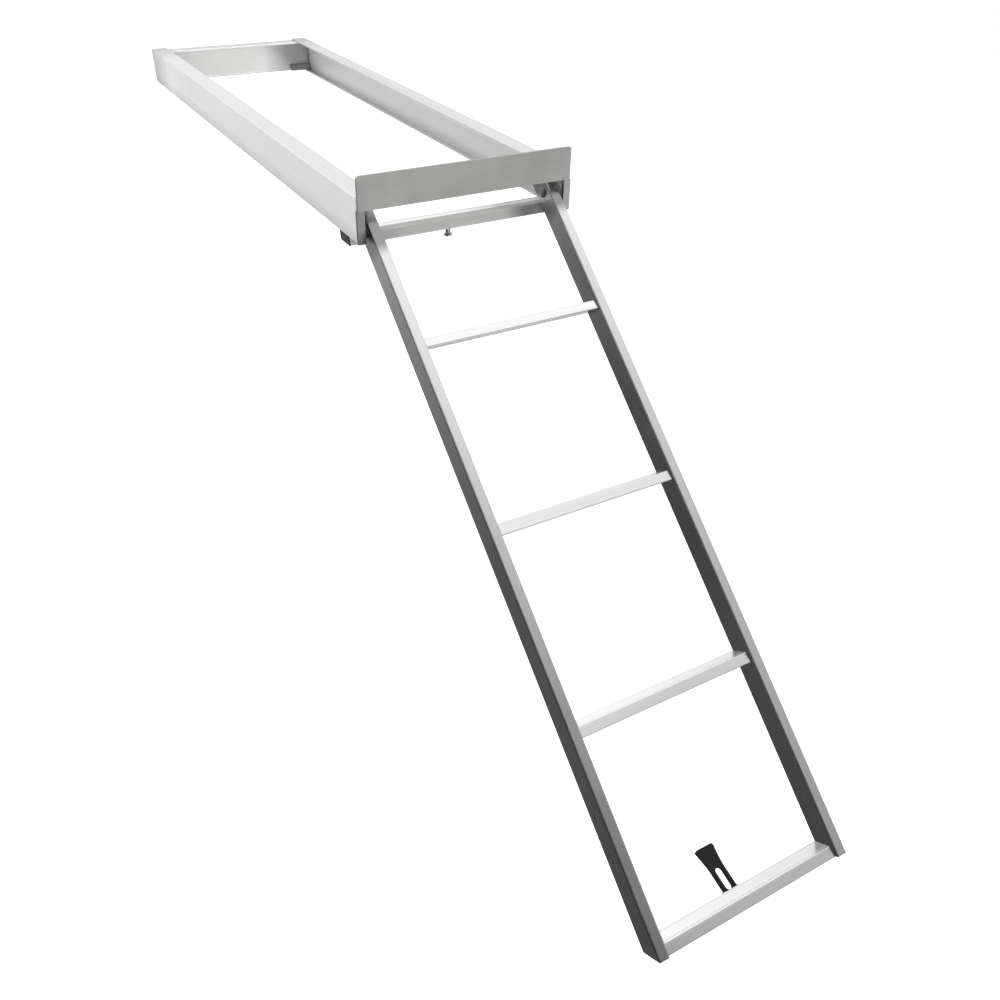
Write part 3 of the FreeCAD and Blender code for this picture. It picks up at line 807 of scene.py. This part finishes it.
def add_floor():
    """Pale floor under the ladder's lowest reach. It looks white, and keeps the shadow."""
    bm = bmesh.new()
    bmesh.ops.create_circle(bm, cap_ends=True, segments=96, radius=FLOOR_RADIUS)
    mesh = bpy.data.meshes.new("floor")
    bm.to_mesh(mesh)
    bm.free()
    floor = bpy.data.objects.new("floor", mesh)
    bpy.context.scene.collection.objects.link(floor)
    floor.location = (0, 0, FLOOR_Z)
    material = bpy.data.materials.new("floor")
    material.use_nodes = True
    tree = material.node_tree
    shader = tree.nodes["Principled BSDF"]
    shader.inputs["Base Color"].default_value = (0.8, 0.8, 0.8, 1)
    shader.inputs["Roughness"].default_value = 0.9
    shader.inputs["Specular IOR Level"].default_value = 0.0
    path = tree.nodes.new("ShaderNodeLightPath")
    glow = tree.nodes.new("ShaderNodeEmission")
    glow.inputs["Strength"].default_value = FLOOR_GLOW
    dark = tree.nodes.new("ShaderNodeEmission")
    dark.inputs["Strength"].default_value = 0.0
    choose = tree.nodes.new("ShaderNodeMixShader")
    link(tree, path.outputs["Is Camera Ray"], choose.inputs["Fac"])
    link(tree, dark.outputs["Emission"], choose.inputs[1])
    link(tree, glow.outputs["Emission"], choose.inputs[2])
    both = tree.nodes.new("ShaderNodeAddShader")
    link(tree, shader.outputs["BSDF"], both.inputs[0])
    link(tree, choose.outputs["Shader"], both.inputs[1])
    link(tree, both.outputs["Shader"], tree.nodes["Material Output"].inputs["Surface"])
    mesh.materials.append(material)
    floor.visible_glossy = False


def add_lamp(name, place, target, size, energy):
    """A soft lamp that metal doesn't mirror."""
    lamp = bpy.data.lights.new(name, "AREA")
    lamp.shape = "RECTANGLE"
    lamp.size, lamp.size_y = size
    lamp.energy = energy
    holder = bpy.data.objects.new(name, lamp)
    bpy.context.scene.collection.objects.link(holder)
    holder.location = place
    holder.rotation_euler = (Vector(target) - Vector(place)).to_track_quat("-Z", "Y").to_euler()
    holder.visible_glossy = False


def add_camera():
    camera = bpy.data.cameras.new("camera")
    camera.lens = CAMERA_LENS
    camera.sensor_width = 36.0
    camera.clip_end = 50
    holder = bpy.data.objects.new("camera", camera)
    bpy.context.scene.collection.objects.link(holder)
    holder.location = CAMERA_PLACE
    holder.rotation_euler = Euler([math.radians(a) for a in CAMERA_TURN])
    bpy.context.scene.camera = holder


materials = make_materials()
paint_nodes(materials)
add_steps(materials)
add_crossbar(materials)
add_welds(materials)
add_pivots(materials)
add_stud(materials)
add_bumpers(materials)
add_latch(materials)
add_world()
add_floor()
add_lamp("front_softbox", place=(-0.9, -1.9, 1.9), target=(0.0, 0.6, 0.0), size=(1.0, 1.0), energy=18)
add_lamp("left_fill", place=(-3.0, 0.6, 0.9), target=(0.0, 0.6, 0.0), size=(2.5, 1.2), energy=43)
add_lamp("front_fill", place=(-1.2, -3.0, 0.3), target=(0.0, 0.3, 0.0), size=(2.5, 1.6), energy=62)
add_camera()

scene = bpy.context.scene
scene.view_settings.view_transform = "Standard"
